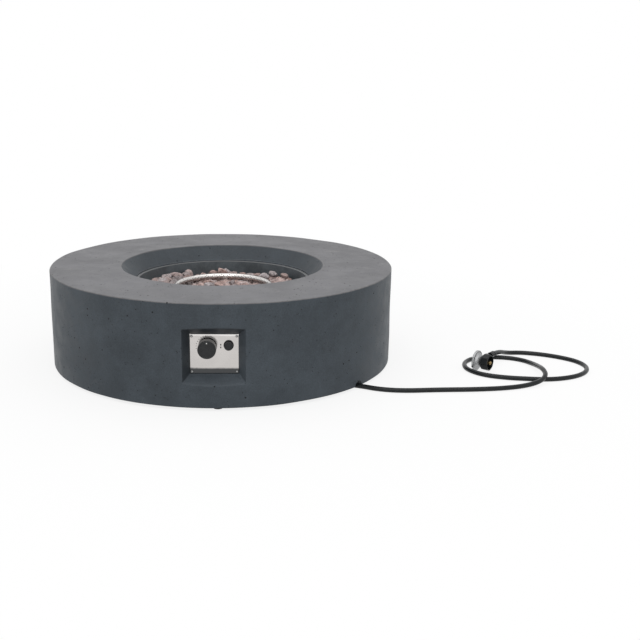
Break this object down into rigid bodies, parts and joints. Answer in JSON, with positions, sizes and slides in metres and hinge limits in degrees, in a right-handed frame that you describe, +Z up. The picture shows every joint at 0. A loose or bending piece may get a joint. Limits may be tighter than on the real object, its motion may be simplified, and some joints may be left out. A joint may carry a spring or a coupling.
{
  "type": "gas fire pit table",
  "caption": "Low round cast-concrete gas fire pit with a conical bowl, lava stones over a ring burner, a recessed panel with knob and igniter, and a hose with a cylinder regulator.",
  "frame": {"origin": "on the floor, under the centre of the drum", "axes": "+Z up; the control panel faces -Y; +X is to the right of someone facing the panel"},
  "size_m": [1.6863, 1.0668, 0.305],
  "materials": {
    "concrete": "matte",
    "foot_rubber": "matte",
    "zinc_steel": "satin",
    "dark_steel": "satin",
    "stainless": "satin",
    "screw_steel": "polished",
    "brass": "satin",
    "die_cast": "satin",
    "spark_porcelain": "gloss",
    "copper": "satin",
    "lead_rubber": "satin",
    "lava": "matte",
    "black_plastic": "satin",
    "nut_plastic": "matte",
    "battery_case": "gloss",
    "hose_rubber": "satin",
    "seal_rubber": "matte",
    "ferrule_steel": "satin"
  },
  "bodies": {
    "fire_pit": {"air_mixer": "die_cast", "bracket_bolts": "zinc_steel", "burner_inlet": "stainless", "burner_pan": "dark_steel", "burner_ring": "stainless", "control_plate": "stainless", "foot_inserts": "zinc_steel", "foot_pads": "foot_rubber", "foot_studs": "zinc_steel", "gas_hose": "hose_rubber", "gas_jet": "brass", "hose_ferrule": "ferrule_steel", "hose_nut": "brass", "igniter_barrel": "black_plastic", "igniter_battery": "battery_case", "igniter_collar": "black_plastic", "igniter_nut": "black_plastic", "igniter_spring": "screw_steel", "inlet_locknuts": "zinc_steel", "inlet_nipple": "brass", "lava_rocks": "lava", "nipple_seal": "seal_rubber", "outlet_fitting": "ferrule_steel", "plate_screws": "screw_steel", "regulator_body": "die_cast", "regulator_cover": "die_cast", "regulator_screws": "screw_steel", "ring_brackets": "zinc_steel", "spark_bracket": "zinc_steel", "spark_ceramic": "spark_porcelain", "spark_lead": "lead_rubber", "spark_rod": "stainless", "supply_nuts": "brass", "supply_tube": "die_cast", "table_body": "concrete", "thermocouple": "copper", "thermocouple_lead": "copper", "valve_body": "brass", "valve_bonnet": "die_cast", "valve_screws": "screw_steel", "valve_spring": "screw_steel", "vent_cap": "nut_plastic"},
    "valve_plug": {"valve_plug": "brass"},
    "knob": {"control_knob": "black_plastic", "valve_stem": "screw_steel"},
    "igniter_button": {"igniter_button": "black_plastic"},
    "coupling_nut": {"coupling_nut": "nut_plastic"}
  },
  "joints": [
    {"name": "knob_turn", "type": "hinge", "parent": "fire_pit", "child": "valve_plug", "pos_m": [-0.0186, -0.497, 0.174], "axis": [0, -1, 0], "range_deg": [0, 180]},
    {"name": "knob_push", "type": "slide", "parent": "valve_plug", "child": "knob", "axis": [0, 1, 0], "range_m": [0, 0.005], "stiffness_N_per_m": 800, "springref_m": -0.003, "deforming": ["valve_spring"]},
    {"name": "igniter_push", "type": "slide", "parent": "fire_pit", "child": "igniter_button", "axis": [0, 1, 0], "range_m": [0, 0.004], "stiffness_N_per_m": 1000, "springref_m": -0.002, "deforming": ["igniter_spring"]},
    {"name": "coupling_nut_spin", "type": "hinge", "parent": "fire_pit", "child": "coupling_nut", "pos_m": [0.797, -0.159, 0.0318], "axis": [0.788, -0.6157, 0], "continuous": true}
  ]
}
